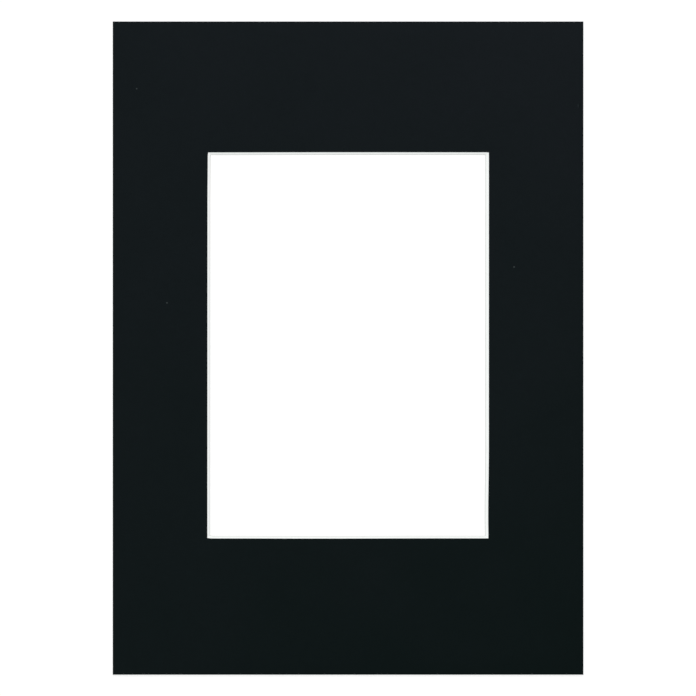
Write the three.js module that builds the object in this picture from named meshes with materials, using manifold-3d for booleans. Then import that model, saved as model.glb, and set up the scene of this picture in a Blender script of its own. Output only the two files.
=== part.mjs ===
// Picture mount: a sheet of mount board with one window cut in it. The board is two layers glued together all over,
// a thin black face paper on a thick white core. One knife, held at a slant, cuts the window through both layers, so
// the opening is widest at the face and the white core shows as a bevel all round it, with mitred corners.
// Millimetres. The mount lies face up: +Z points out of its face, +Y towards its top edge, and the origin is at the
// middle of its back.

import * as THREE from "three";
import { mergeVertices } from "three/addons/utils/BufferGeometryUtils.js";
import Module from "manifold-3d";

// The sheet, cut to drop into the rebate of a 20 by 28 cm frame
const boardWidth = 200;
const boardHeight = 277.6;

// The two layers of the sheet
const facePaperThickness = 0.2;
const coreThickness = 1.2;

// The window, measured at the face, cut to show a picture of 13 by 18 cm
const windowWidth = 120;
const windowHeight = 164.5;
const windowRise = 1.15; // from the board's middle up to the window's, so the bottom border is the deeper one

// The window knife
const bevelAngle = 45; // degrees from square to the face
const knifeOverrun = 2; // how far the cut runs on above the face and below the back

const boardThickness = coreThickness + facePaperThickness;

const facePaperFinish = new THREE.MeshStandardMaterial({ color: 0x14191b, roughness: 0.9, metalness: 0 });
const coreFinish = new THREE.MeshStandardMaterial({ color: 0xf1f1ee, roughness: 0.95, metalness: 0 });

const wasm = await Module();
wasm.setup();

// A closed geometry as a solid that can be cut.
function solidFrom(geometry) {
  const bare = geometry.clone();
  bare.deleteAttribute("normal");
  bare.deleteAttribute("uv");
  const merged = mergeVertices(bare);
  return new wasm.Manifold(
    new wasm.Mesh({
      numProp: 3,
      vertProperties: merged.attributes.position.array,
      triVerts: new Uint32Array(merged.index.array),
    }),
  );
}

// A cut solid as a geometry with flat faces.
function geometryFrom(solid) {
  const { vertProperties, triVerts } = solid.getMesh();
  const geometry = new THREE.BufferGeometry();
  geometry.setAttribute("position", new THREE.BufferAttribute(vertProperties, 3));
  geometry.setIndex(new THREE.BufferAttribute(triVerts, 1));
  const flat = geometry.toNonIndexed();
  flat.computeVertexNormals();
  return flat;
}

// A rectangular outline about the origin.
function rectangle(width, height) {
  const outline = new THREE.Shape();
  outline.moveTo(-width / 2, -height / 2);
  outline.lineTo(width / 2, -height / 2);
  outline.lineTo(width / 2, height / 2);
  outline.lineTo(-width / 2, height / 2);
  outline.closePath();
  return outline;
}

// One layer of the sheet before the window is cut, with its underside at a height above the board's back.
function layerBlank(underside, thickness) {
  const blank = new THREE.ExtrudeGeometry(rectangle(boardWidth, boardHeight), {
    depth: thickness,
    bevelEnabled: false,
  });
  return blank.translate(0, 0, underside);
}

// What the slanted knife takes out of the sheet: a plug whose four sides close in with depth. It is as wide as the
// window where it crosses the face, and it starts above the face and ends below the back, so each cut goes right
// through.
function windowPlug() {
  const inwardPerDepth = Math.tan(THREE.MathUtils.degToRad(bevelAngle));
  const cutDepth = boardThickness + 2 * knifeOverrun;
  const taper = cutDepth * inwardPerDepth;
  const flare = knifeOverrun * inwardPerDepth;
  const plug = new THREE.ExtrudeGeometry(rectangle(windowWidth + 2 * flare, windowHeight + 2 * flare), {
    depth: knifeOverrun,
    bevelEnabled: true,
    bevelSegments: 1,
    bevelThickness: cutDepth,
    bevelSize: taper,
    bevelOffset: -taper,
  });
  return plug.translate(0, windowRise, boardThickness + knifeOverrun);
}

// One layer with the window cut in it, as a named piece.
function windowedLayer(name, underside, thickness, finish) {
  const cut = solidFrom(layerBlank(underside, thickness)).subtract(solidFrom(windowPlug()));
  const layer = new THREE.Mesh(geometryFrom(cut), finish);
  layer.name = name;
  return layer;
}

const pictureMount = new THREE.Group();
pictureMount.name = "picture_mount";
pictureMount.add(windowedLayer("core_board", 0, coreThickness, coreFinish));
pictureMount.add(windowedLayer("face_paper", coreThickness, facePaperThickness, facePaperFinish));

export default pictureMount;
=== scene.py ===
# Picture mount: black face paper, white core and grey back paper, with one bevel-cut window. It lies face
# up in a plain white studio. Lengths are in metres in the frame's own axes: +Z out of the face, +Y towards
# the top edge.

import bmesh
import bpy
from mathutils import Matrix, Vector, noise


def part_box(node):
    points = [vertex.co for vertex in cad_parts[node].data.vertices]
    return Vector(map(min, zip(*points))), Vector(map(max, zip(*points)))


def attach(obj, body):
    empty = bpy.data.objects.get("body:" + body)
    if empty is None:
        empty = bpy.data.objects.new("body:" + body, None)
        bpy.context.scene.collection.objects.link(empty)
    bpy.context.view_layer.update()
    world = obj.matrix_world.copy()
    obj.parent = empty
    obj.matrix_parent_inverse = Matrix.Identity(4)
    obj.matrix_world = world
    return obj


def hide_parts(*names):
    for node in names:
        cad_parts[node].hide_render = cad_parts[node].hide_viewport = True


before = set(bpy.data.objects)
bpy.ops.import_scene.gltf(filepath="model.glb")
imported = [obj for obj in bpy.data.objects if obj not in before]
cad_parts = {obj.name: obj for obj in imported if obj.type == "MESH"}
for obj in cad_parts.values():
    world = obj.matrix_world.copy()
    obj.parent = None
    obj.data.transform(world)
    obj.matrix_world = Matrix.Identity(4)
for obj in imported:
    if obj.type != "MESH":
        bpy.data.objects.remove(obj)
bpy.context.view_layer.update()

mm = 0.001
nearly = 0.001 * mm  # places closer than this are the same place


def windowAt(node, height):  # the window's low and high corners in a node of the frame, at one height
    low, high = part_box(node)
    level = [v.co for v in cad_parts[node].data.vertices if abs(v.co.z - height) < nearly]
    rim = [p for p in level if low.x + mm < p.x < high.x - mm and low.y + mm < p.y < high.y - mm]
    return [Vector((pick(p.x for p in rim), pick(p.y for p in rim))) for pick in (min, max)]


coreLow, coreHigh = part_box("core_board")
paperLow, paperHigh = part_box("face_paper")
windowLow, windowHigh = windowAt("face_paper", paperHigh.z)
boardMiddle = (coreLow + coreHigh) / 2
boardSize = coreHigh - coreLow
print("frame loaded: board %.1f x %.1f mm" % (boardSize.x / mm, boardSize.y / mm))

# Camera

portrait = {
    "pictureWide": 696,  # pixels
    "boardWide": 470.65,  # pixels that the board's width takes up
    "boardCentre": (348.055, 348.09),  # pixels from the picture's left and top
    "lens": 180,  # mm, so the view is nearly square on
    "sensor": 36,  # mm
}


def makeCamera(look):
    data = bpy.data.cameras.new("portraitCamera")
    data.lens = look["lens"]
    data.sensor_width = look["sensor"]
    pixel = boardSize.x / look["boardWide"]
    away = pixel * look["pictureWide"] * look["lens"] / look["sensor"]
    half = look["pictureWide"] / 2
    right, down = (c - half for c in look["boardCentre"])
    camera = bpy.data.objects.new("portraitCamera", data)
    camera.location = (boardMiddle.x - right * pixel, boardMiddle.y + down * pixel, paperHigh.z + away)
    bpy.context.scene.collection.objects.link(camera)
    bpy.context.scene.camera = camera


makeCamera(portrait)
print("camera set")

# Shader sums


class Wire:  # a shader socket that sums can be done on
    def __init__(self, tree, socket=None):
        self.tree = tree
        self.socket = socket

    def node(self, kind, settings=(), sockets=(), out=0):
        made = self.tree.nodes.new("ShaderNode" + kind)
        for name, value in dict(settings).items():
            setattr(made, name, value)
        for name, value in dict(sockets).items():
            if isinstance(value, Wire):
                self.tree.links.new(value.socket, made.inputs[name])
            else:
                made.inputs[name].default_value = value
        return Wire(self.tree, made.outputs[out])

    def sum(self, operation, first, second):
        return self.node("Math", {"operation": operation}, {0: first, 1: second})

    def __add__(self, other):
        return self.sum("ADD", self, other)

    def __sub__(self, other):
        return self.sum("SUBTRACT", self, other)

    def __rsub__(self, other):
        return self.sum("SUBTRACT", other, self)

    def __mul__(self, other):
        return self.sum("MULTIPLY", self, other)

    def __abs__(self):
        return self.sum("ABSOLUTE", self, 0)

    __radd__ = __add__
    __rmul__ = __mul__

    def between(self, low, high):  # 0 at low and 1 at high, eased, and low may be the greater
        spread = {"Value": self, "From Min": low, "From Max": high}
        return self.node("MapRange", {"interpolation_type": "SMOOTHSTEP"}, spread)

    def blend(self, first, second):  # the first colour where this is 0, the second where it is 1
        return self.node("Mix", {"data_type": "RGBA"}, {0: self, 6: first, 7: second}, out=2)

    def grain(self, size, detail=2.0, turn=0.0):  # noise about 0 on places in mm, with grains of that size
        shape = {"Vector": self, "Rotation": (0, 0, turn), "Scale": size}
        places = self.node("Mapping", {"vector_type": "TEXTURE"}, shape)
        kind = {"Vector": places, "Scale": 1, "Detail": detail, "Roughness": 0.55}
        return self.node("TexNoise", {}, kind) - 0.5

    def fibres(self, size, turns):  # a felt: thin lines where grains that lie these ways pass through 0
        halfLine = 0.05
        return sum(abs(self.grain(size, 1.0, turn)).between(halfLine, 0) for turn in turns)

    def feed(self, shader, socket):
        self.tree.links.new(self.socket, shader.inputs[socket])


def tone(red, green, blue):  # a colour as a screen shows it, from 0 to 255, as light
    shares = [c / 255 for c in (red, green, blue)]
    return (*[s / 12.92 if s <= 0.04045 else ((s + 0.055) / 1.055) ** 2.4 for s in shares], 1.0)


def newFinish(name, fixed):  # a material, its shader, and the object's own places in mm
    finish = bpy.data.materials.new(name)
    finish.use_nodes = True
    shader = next(n for n in finish.node_tree.nodes if n.type == "BSDF_PRINCIPLED")
    for socket, value in fixed.items():
        shader.inputs[socket].default_value = value
    start = Wire(finish.node_tree)
    places = start.node("TexCoord", out="Object")
    return finish, shader, start.node("VectorMath", {"operation": "SCALE"}, {0: places, "Scale": 1 / mm})


# Finishes

blackPaper = {
    "paintedLitTone": (19.6, 24.0, 27.2),  # at the top right, the paper's black with painted light and a painted cool sheen
    "deepTone": (7.5, 16.8, 16.3),  # at the bottom right, the paper's black darkened with painted shade
    "middle": 0.53,  # of the way from the deep, painted shade tone to the painted lit one
    "paintedLightSlope": 0.72,  # how much more of the way the top edge is than the bottom edge: painted light at the top, painted shade at the bottom
    "paintedSheenTwist": (0.53, 0.04),  # painted sheen: the right edge is ahead of the left one at the top, and behind it at the bottom
    "dustAndPaintedDent": (  # x, y, half width and half height in mm, and the tone
        (-89.83, 110.27, 0.4, 0.4, (58, 65, 65)),  # dust
        (70.56, 34.5, 0.42, 0.42, (56, 63, 63)),
        (-76.93, 19.2, 0.42, 0.42, (59, 66, 66)),
        (98.5, 103.1, 0.34, 1.3, (11, 17, 19)),  # a dent beside the right edge, drawn in colour only: painted shade in the dent
        # painted light on the dent's left side
        (97.8, 103.0, 0.4, 0.9, (32, 38, 40)),
    ),
    "markEdge": (1, 0.4),  # a mark is nothing at 1 of its half size, and full within 0.4
    "fixed": {"Specular IOR Level": 0.03, "Sheen Weight": 0.05, "Sheen Roughness": 0.4},
    "cloud": (50, 50, 50),  # mm, the sizes of the grains of each kind
    "mottle": (2.8, 2.8, 2.8),
    "tooth": (0.4, 0.4, 0.4),
    "fibre": (1.8, 0.16, 0.16),
    "fibreTurns": (0.3, 1.5, 2.6),  # radians, the ways the fibres lie
    "cloudTone": 0.4,  # how far the cloud shifts the way from deep to cool
    "shade": (0.98, 0.16, 0.3, 0.14),  # the plain brightness, and what mottle, tooth and fibres add
    "relief": (0.04, 0.03, 0.012),  # mm, of mottle, tooth and fibres
    "roughness": (0.8, 0.2),  # the plain value, and what the tooth adds
}


def makeFaceFinish(look):
    finish, shader, places = newFinish("blackPaper", look["fixed"])
    across = places.node("SeparateXYZ", {}, {0: places}, out="X") * (mm / boardSize.x)
    up = places.node("SeparateXYZ", {}, {0: places}, out="Y") * (mm / boardSize.y)
    high, low = look["paintedSheenTwist"]
    # painted light and shade: the face's black is painted lighter and cooler towards the top, darker towards
    # the bottom, leaning across the face
    paintedLight = up * look["paintedLightSlope"] + across * (up * high - low) + look["middle"]
    cloud = places.grain(look["cloud"], 3.0)
    mottle = places.grain(look["mottle"], 3.0)
    tooth = places.grain(look["tooth"])
    felt = places.fibres(look["fibre"], look["fibreTurns"])
    black = (paintedLight + cloud * look["cloudTone"]).blend(tone(*look["deepTone"]), tone(*look["paintedLitTone"]))
    plain, mottleShade, toothShade, feltShade = look["shade"]
    shade = mottle * mottleShade + tooth * toothShade + felt * feltShade + plain
    black = places.node("VectorMath", {"operation": "SCALE"}, {0: black, "Scale": shade})
    # dust specks, and the dent as painted shade and painted light
    for x, y, halfWidth, halfHeight, shown in look["dustAndPaintedDent"]:
        middle = (x, y, paperHigh.z / mm)
        place = {"Vector": places, "Location": middle, "Scale": (halfWidth, halfHeight, 1)}
        spot = places.node("Mapping", {"vector_type": "TEXTURE"}, place)
        away = places.node("VectorMath", {"operation": "LENGTH"}, {0: spot}, out="Value")
        black = (away + tooth).between(*look["markEdge"]).blend(black, tone(*shown))
    black.feed(shader, "Base Color")
    plainRoughness, toothRoughness = look["roughness"]
    (plainRoughness + tooth * toothRoughness).feed(shader, "Roughness")
    mottleRelief, toothRelief, feltRelief = look["relief"]
    relief = mottle * mottleRelief + tooth * toothRelief + felt * feltRelief
    places.node("Bump", {}, {"Distance": mm, "Height": relief}).feed(shader, "Normal")
    return finish


whiteCore = {
    "paleTone": (249, 251.5, 250.5),
    "deepTone": (239, 242, 240),
    "fixed": {"Specular IOR Level": 0.2},
    "ply": (5, 5, 0.25),  # mm, the sizes of the grains
    "pulp": (0.5, 0.5, 0.16),
    "shade": (0.5, 1.6, 0.9),  # the plain way from deep to pale, and what plies and pulp add
    "relief": (0.04, 0.04),  # mm, of plies and pulp
    "roughness": (0.95, 0.08),  # the plain value, and what the pulp adds
}


def makeCoreFinish(look):  # pulp, whose fibres lie flat in the board and so run along every cut
    finish, shader, places = newFinish("whiteCore", look["fixed"])
    plies = places.grain(look["ply"], 3.0)
    pulp = places.grain(look["pulp"])
    plain, plyShade, pulpShade = look["shade"]
    pale = plies * plyShade + pulp * pulpShade + plain
    pale.blend(tone(*look["deepTone"]), tone(*look["paleTone"])).feed(shader, "Base Color")
    plainRoughness, pulpRoughness = look["roughness"]
    (plainRoughness + pulp * pulpRoughness).feed(shader, "Roughness")
    plyRelief, pulpRelief = look["relief"]
    relief = plies * plyRelief + pulp * pulpRelief
    places.node("Bump", {}, {"Distance": mm, "Height": relief}).feed(shader, "Normal")
    return finish


backPaper = {  # greyer than the core, so its cut edge shows as a thin line at the foot of every cut
    "paleTone": (212, 214, 211),
    "deepTone": (204, 206, 202),
    "fixed": {"Specular IOR Level": 0.3},
    "cloud": (20, 20, 20),  # mm, the sizes of the grains
    "tooth": (1.1, 1.1, 1.1),
    "shade": (0.5, 1, 0.8),  # the plain way from deep to pale, and what cloud and tooth add
    "relief": 0.03,  # mm, of the tooth
    "roughness": (0.85, 0.1),  # the plain value, and what the tooth adds
}


def makeBackFinish(look):
    finish, shader, places = newFinish("backPaper", look["fixed"])
    cloud = places.grain(look["cloud"], 3.0)
    tooth = places.grain(look["tooth"], 3.0)
    plain, cloudShade, toothShade = look["shade"]
    pale = cloud * cloudShade + tooth * toothShade + plain
    pale.blend(tone(*look["deepTone"]), tone(*look["paleTone"])).feed(shader, "Base Color")
    plainRoughness, toothRoughness = look["roughness"]
    (plainRoughness + tooth * toothRoughness).feed(shader, "Roughness")
    places.node("Bump", {}, {"Distance": mm, "Height": tooth * look["relief"]}).feed(shader, "Normal")
    return finish


faceFinish = makeFaceFinish(blackPaper)
coreFinish = makeCoreFinish(whiteCore)
backFinish = makeBackFinish(backPaper)
print("finishes made")

# The window cut

sides = {  # axis across the side, the side's line at the face, and which way is into the window
    "left": (0, windowLow.x, 1),
    "right": (0, windowHigh.x, -1),
    "bottom": (1, windowLow.y, 1),
    "top": (1, windowHigh.y, -1),
}

knifeCut = {
    "pitch": 0.8 * mm,  # between points along the cut
    "lean": {"left": 0.93, "right": 1.18, "bottom": 0.81, "top": 0.88},  # mm in per mm of depth
    "stray": {  # mm into the window, at shares of the side's length from its left or top end
        "left": ((0, 0.4), (0.007, 0.2), (0.14, 0.08), (0.5, 0.05), (1, 0.02)),
        "right": ((0, -0.08), (0.76, -0.06), (0.95, 0.22), (1, 0.13)),
        "bottom": ((0, 0.27), (0.012, 0.06), (0.4, 0), (0.8, 0.09), (1, 0.09)),
        "top": ((0, 0.08), (0.5, 0), (0.99, 0.03), (1, 0.12)),
    },
    "tremor": 0.014 * mm,
    "tremorLength": 1.6 * mm,
}


def strayAt(points, share):  # eased from point to point
    for (start, before), (end, after) in zip(points, points[1:]):
        if share <= end:
            t = (share - start) / (end - start)
            return (before + (after - before) * t * t * (3 - 2 * t)) * mm
    return points[-1][1] * mm


def cutAlong(made, cut):  # leans an upright window's walls and lets them stray as a hand-held knife does
    lean = cut["lean"]
    rim = [
        v for v in made.verts
        if all(windowLow[axis] - nearly < v.co[axis] < windowHigh[axis] + nearly for axis in (0, 1))
    ]
    for v in rim:  # shares of the way across and up the window
        shares = [(v.co[axis] - windowLow[axis]) / (windowHigh[axis] - windowLow[axis]) for axis in (0, 1)]
        depth = paperHigh.z - v.co.z
        tremor = noise.noise(v.co / cut["tremorLength"]) * cut["tremor"]
        push = Vector((
            depth * (lean["left"] * (1 - shares[0]) - lean["right"] * shares[0]),
            depth * (lean["bottom"] * (1 - shares[1]) - lean["top"] * shares[1]),
            0,
        ))
        for name, (across, line, inward) in sides.items():
            if abs(v.co[across] - line) < nearly:
                share = shares[0] if across else 1 - shares[1]
                push[across] += inward * (strayAt(cut["stray"][name], share) + tremor)
        v.co += push


# The sheet

sheetMesh = {
    "borderPitch": 8 * mm,  # between points where the sheet is plain
    "rim": 0.05 * mm,  # rounding of the outer edge
    "backPaperThick": 0.2 * mm,
    "coreLayers": 5,  # rows of faces down the core's cut edges
}


def edgesRunning(made, axis, low, high):  # the edges along an axis with their middles between two places
    found = []
    for e in made.edges:
        a, b = (v.co for v in e.verts)
        if abs(a[1 - axis] - b[1 - axis]) < nearly and low < (a[axis] + b[axis]) / 2 < high:
            found.append(e)
    return found


def flatSheet(height):  # the sheet's outline with the window out of it, and close points beside the window
    made = bmesh.new()
    bmesh.ops.create_grid(made, x_segments=1, y_segments=1, size=0.5)
    size = Matrix.Diagonal((boardSize.x, boardSize.y, 1, 1))
    place = Matrix.Translation((boardMiddle.x, boardMiddle.y, height))
    bmesh.ops.transform(made, matrix=place @ size, verts=made.verts)
    for across, line, _ in sides.values():
        normal = Vector((1 - across, across, 0))
        everything = made.verts[:] + made.edges[:] + made.faces[:]
        bmesh.ops.bisect_plane(made, geom=everything, plane_co=normal * line, plane_no=normal)
    middle = [
        f for f in made.faces
        if all(windowLow[axis] < f.calc_center_median()[axis] < windowHigh[axis] for axis in (0, 1))
    ]
    bmesh.ops.delete(made, geom=middle, context="FACES")
    for axis in (0, 1):
        stops = (coreLow[axis], windowLow[axis], windowHigh[axis], coreHigh[axis])
        pitches = (sheetMesh["borderPitch"], knifeCut["pitch"], sheetMesh["borderPitch"])
        for low, high, pitch in zip(stops, stops[1:], pitches):
            cuts = round((high - low) / pitch) - 1
            crossing = edgesRunning(made, axis, low, high)
            bmesh.ops.subdivide_edges(made, edges=crossing, cuts=cuts, use_grid_fill=True)
    return made


def sheetLayer(underside, topside, layers):  # one layer of the board, with rows of faces down its cut edges
    made = flatSheet(topside)
    below = bmesh.ops.extrude_face_region(made, geom=made.faces[:])["geom"]
    below = [g for g in below if isinstance(g, bmesh.types.BMVert)]
    bmesh.ops.translate(made, vec=(0, 0, underside - topside), verts=below)
    upright = [e for e in made.edges if abs(e.verts[0].co.z - e.verts[1].co.z) > nearly]
    bmesh.ops.subdivide_edges(made, edges=upright, cuts=layers - 1, use_grid_fill=True)
    cutAlong(made, knifeCut)
    bmesh.ops.recalc_face_normals(made, faces=made.faces)
    return made


def onOuterRim(place, height):
    inside = min(place.x - coreLow.x, coreHigh.x - place.x, place.y - coreLow.y, coreHigh.y - place.y)
    return abs(place.z - height) < nearly and inside < nearly


def roundRim(made, height, radius):
    rim = [e for e in made.edges if all(onOuterRim(v.co, height) for v in e.verts)]
    bmesh.ops.bevel(made, geom=rim, offset=radius, segments=2, profile=0.5, affect="EDGES", material=-1)


def addPiece(made, name, node, finish):
    sharp = 0.5  # radians between faces
    for f in made.faces:
        f.smooth = True
    for e in made.edges:
        e.smooth = e.calc_face_angle(0) < sharp
    mesh = bpy.data.meshes.new(name)
    made.to_mesh(mesh)
    made.free()
    mesh.materials.append(finish)
    piece = bpy.data.objects.new(name, mesh)
    bpy.context.scene.collection.objects.link(piece)
    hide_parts(node)
    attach(piece, "root")
    print("%s: %d faces" % (name, len(mesh.polygons)))


def makeFacePaper():
    made = sheetLayer(paperLow.z, paperHigh.z, 1)
    roundRim(made, paperHigh.z, sheetMesh["rim"])
    addPiece(made, "facePaper", "face_paper", faceFinish)


def makeCoreBoard():
    made = sheetLayer(coreLow.z + sheetMesh["backPaperThick"], coreHigh.z, sheetMesh["coreLayers"])
    addPiece(made, "coreBoard", "core_board", coreFinish)


def makeBackPaper():  # in the frame, the core's solid holds this paper too
    made = sheetLayer(coreLow.z, coreLow.z + sheetMesh["backPaperThick"], 1)
    roundRim(made, coreLow.z, sheetMesh["rim"])
    addPiece(made, "backPaper", "core_board", backFinish)


makeBackPaper()
makeCoreBoard()
makeFacePaper()

# Studio

studio = {
    "daylight": 0.775,  # the world's share of a plain level of light
    "lampAway": 2.4,
    "lampTowards": (-0.1, 0.42, 0.9),  # above the top edge and a little to the left
    "lampSize": 1.2,
    "lampPower": 18.2,  # watts
    "floorWide": 8,
    "floorDrop": 0.02 * mm,
    "floorPale": 0.8,
    "floorShown": (0.48, 0.54),  # of the floor's white, seen directly: what no shadow darkens, and the rest
}


def seenDirectly(start):  # 1 on what the camera sees, itself or in a shine
    path = ("Is Camera Ray", "Is Glossy Ray", "Is Transmission Ray")
    camera, glossy, through = (start.node("LightPath", out=name) for name in path)
    return camera + glossy + through


def makeDaylight(look):
    world = bpy.data.worlds.new("whiteStudio")
    bpy.context.scene.world = world
    world.use_nodes = True
    background = next(n for n in world.node_tree.nodes if n.type == "BACKGROUND")
    background.inputs["Color"].default_value = (1, 1, 1, 1)
    start = Wire(world.node_tree)
    (seenDirectly(start) * (1 - look["daylight"]) + look["daylight"]).feed(background, "Strength")


def makeLamp(look):
    lamp = bpy.data.lights.new("softLamp", "AREA")
    lamp.size = look["lampSize"]
    lamp.energy = look["lampPower"]
    hung = bpy.data.objects.new("softLamp", lamp)
    towards = Vector(look["lampTowards"]).normalized()
    hung.location = towards * look["lampAway"]
    hung.rotation_mode = "QUATERNION"
    hung.rotation_quaternion = towards.to_track_quat("Z", "Y")
    hung.visible_camera = False
    bpy.context.scene.collection.objects.link(hung)


def makeFloorPaint(look):  # white with the shadow on it to the camera, and plainly pale to all other light
    paint = bpy.data.materials.new("floorPaint")
    paint.use_nodes = True
    output = next(n for n in paint.node_tree.nodes if n.type == "OUTPUT_MATERIAL")
    start = Wire(paint.node_tree)
    pale = [look["floorPale"]] * 3 + [1]
    steady, lit = look["floorShown"]
    plain = start.node("BsdfDiffuse", {}, {"Color": pale})
    shadowed = start.node("BsdfDiffuse", {}, {"Color": (lit, lit, lit, 1)})
    lift = start.node("Emission", {}, {"Color": (1, 1, 1, 1), "Strength": steady})
    shown = start.node("AddShader", {}, {0: shadowed, 1: lift})
    start.node("MixShader", {}, {0: seenDirectly(start), 1: plain, 2: shown}).feed(output, "Surface")
    return paint


def makeFloor(look):
    made = bmesh.new()
    bmesh.ops.create_grid(made, x_segments=1, y_segments=1, size=look["floorWide"] / 2)
    bmesh.ops.translate(made, vec=(0, 0, coreLow.z - look["floorDrop"]), verts=made.verts)
    mesh = bpy.data.meshes.new("floor")
    made.to_mesh(mesh)
    made.free()
    mesh.materials.append(makeFloorPaint(look))
    floor = bpy.data.objects.new("floor", mesh)
    bpy.context.scene.collection.objects.link(floor)


bpy.context.scene.view_settings.view_transform = "Standard"
makeDaylight(studio)
makeLamp(studio)
makeFloor(studio)
print("studio lit")
